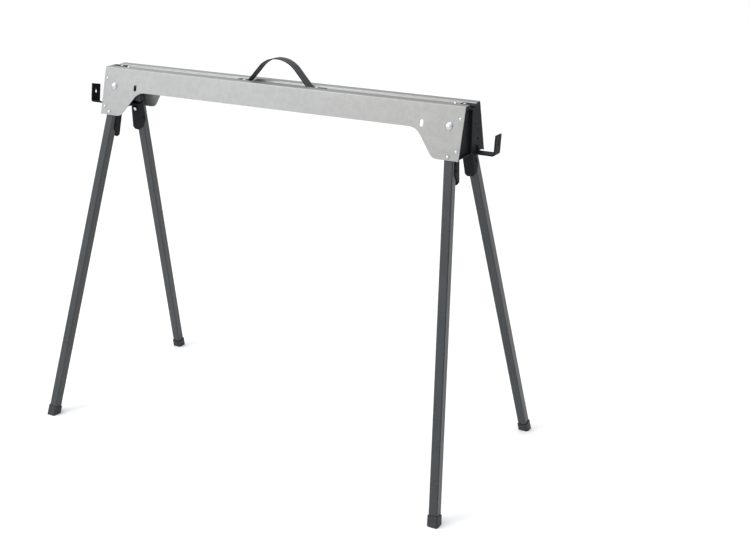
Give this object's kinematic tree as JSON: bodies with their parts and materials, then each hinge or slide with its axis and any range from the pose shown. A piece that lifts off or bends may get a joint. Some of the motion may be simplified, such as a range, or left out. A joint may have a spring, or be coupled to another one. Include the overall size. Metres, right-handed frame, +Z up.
{
  "type": "folding sawhorse",
  "caption": "Folding sawhorse: a folded sheet-steel beam with a grooved top and webbing handle on splayed square-tube legs that lock open and fold flat under the beam.",
  "frame": {"origin": "on the floor under the middle of the beam", "axes": "+X along the beam, +Y across it, +Z up"},
  "size_m": [1.0484, 0.513, 0.8661],
  "materials": {
    "galvanised": "bright galvanised sheet, faint brushing along the length",
    "black_steel": "satin black powder coat",
    "charcoal_steel": "satin charcoal powder coat",
    "zinc": "bright zinc plate",
    "spring_steel": "oiled spring steel",
    "cap_plastic": "matt black moulded plastic",
    "webbing": "ribbed charcoal webbing"
  },
  "bodies": {
    "beam": {"beam_shell": "galvanised", "end_bracket_right": "black_steel", "end_bracket_left": "black_steel", "hook_right": "black_steel", "hook_left": "black_steel", "hook_bolts": "black_steel", "hook_nuts": "zinc", "bracket_rivets": "zinc", "tongue_rivets": "zinc", "pivot_bolts": "zinc", "pivot_spacers": "zinc", "pivot_washers": "zinc", "pivot_nuts": "zinc", "handle_strap": "webbing", "strap_plates": "zinc", "strap_rivets": "zinc"},
    "leg_front_right": {"leg_tube_front_right": "charcoal_steel", "foot_cap_front_right": "cap_plastic", "pivot_sleeve_front_right": "zinc", "lever_pin_front_right": "black_steel", "lock_spring_front_right": "spring_steel"},
    "lever_front_right": {"release_lever_front_right": "black_steel"},
    "pin_front_right": {"lock_pin_front_right": "zinc"},
    "leg_front_left": {"leg_tube_front_left": "charcoal_steel", "foot_cap_front_left": "cap_plastic", "pivot_sleeve_front_left": "zinc", "lever_pin_front_left": "black_steel", "lock_spring_front_left": "spring_steel"},
    "lever_front_left": {"release_lever_front_left": "black_steel"},
    "pin_front_left": {"lock_pin_front_left": "zinc"},
    "leg_back_right": {"leg_tube_back_right": "charcoal_steel", "foot_cap_back_right": "cap_plastic", "pivot_sleeve_back_right": "zinc", "lever_pin_back_right": "black_steel", "lock_spring_back_right": "spring_steel"},
    "lever_back_right": {"release_lever_back_right": "black_steel"},
    "pin_back_right": {"lock_pin_back_right": "zinc"},
    "leg_back_left": {"leg_tube_back_left": "charcoal_steel", "foot_cap_back_left": "cap_plastic", "pivot_sleeve_back_left": "zinc", "lever_pin_back_left": "black_steel", "lock_spring_back_left": "spring_steel"},
    "lever_back_left": {"release_lever_back_left": "black_steel"},
    "pin_back_left": {"lock_pin_back_left": "zinc"}
  },
  "joints": [
    {"name": "fold_front_right", "type": "hinge", "parent": "beam", "child": "leg_front_right", "pos_m": [0.4266, -0.0418, 0.77145], "axis": [0, 0.9641, -0.2656], "range_deg": [0, 97.9], "deforming": ["lock_pin_front_right"]},
    {"name": "squeeze_front_right", "type": "hinge", "parent": "leg_front_right", "child": "lever_front_right", "pos_m": [0.43595, -0.04961, 0.68284], "axis": [-0.9943, -0.0282, -0.1024], "range_deg": [0, 10], "stiffness_Nm_per_rad": 0.3},
    {"name": "draw_front_right", "type": "slide", "parent": "leg_front_right", "child": "pin_front_right", "axis": [0, 0.9641, -0.2656], "range_m": [0, 0.0055], "deforming": ["lock_spring_front_right"]},
    {"name": "fold_front_left", "type": "hinge", "parent": "beam", "child": "leg_front_left", "pos_m": [-0.4266, -0.0418, 0.77145], "axis": [0, -0.9641, 0.2656], "range_deg": [0, 94.3], "deforming": ["lock_pin_front_left"]},
    {"name": "squeeze_front_left", "type": "hinge", "parent": "leg_front_left", "child": "lever_front_left", "pos_m": [-0.43595, -0.04961, 0.68284], "axis": [-0.9943, 0.0282, 0.1024], "range_deg": [0, 10], "stiffness_Nm_per_rad": 0.3},
    {"name": "draw_front_left", "type": "slide", "parent": "leg_front_left", "child": "pin_front_left", "axis": [0, 0.9641, -0.2656], "range_m": [0, 0.0055], "deforming": ["lock_spring_front_left"]},
    {"name": "fold_back_right", "type": "hinge", "parent": "beam", "child": "leg_back_right", "pos_m": [0.4266, 0.0418, 0.77145], "axis": [0, 0.9641, 0.2656], "range_deg": [0, 97.9], "deforming": ["lock_pin_back_right"]},
    {"name": "squeeze_back_right", "type": "hinge", "parent": "leg_back_right", "child": "lever_back_right", "pos_m": [0.43595, 0.04961, 0.68284], "axis": [0.9943, -0.0282, 0.1024], "range_deg": [0, 10], "stiffness_Nm_per_rad": 0.3},
    {"name": "draw_back_right", "type": "slide", "parent": "leg_back_right", "child": "pin_back_right", "axis": [0, -0.9641, -0.2656], "range_m": [0, 0.0055], "deforming": ["lock_spring_back_right"]},
    {"name": "fold_back_left", "type": "hinge", "parent": "beam", "child": "leg_back_left", "pos_m": [-0.4266, 0.0418, 0.77145], "axis": [0, -0.9641, -0.2656], "range_deg": [0, 94.3], "deforming": ["lock_pin_back_left"]},
    {"name": "squeeze_back_left", "type": "hinge", "parent": "leg_back_left", "child": "lever_back_left", "pos_m": [-0.43595, 0.04961, 0.68284], "axis": [0.9943, 0.0282, -0.1024], "range_deg": [0, 10], "stiffness_Nm_per_rad": 0.3},
    {"name": "draw_back_left", "type": "slide", "parent": "leg_back_left", "child": "pin_back_left", "axis": [0, -0.9641, -0.2656], "range_m": [0, 0.0055], "deforming": ["lock_spring_back_left"]}
  ],
  "couplings": [
    {"joint": "draw_front_right", "follows": "squeeze_front_right", "m_per_rad": 0.0275},
    {"joint": "draw_front_left", "follows": "squeeze_front_left", "m_per_rad": 0.0275},
    {"joint": "draw_back_right", "follows": "squeeze_back_right", "m_per_rad": 0.0275},
    {"joint": "draw_back_left", "follows": "squeeze_back_left", "m_per_rad": 0.0275}
  ]
}
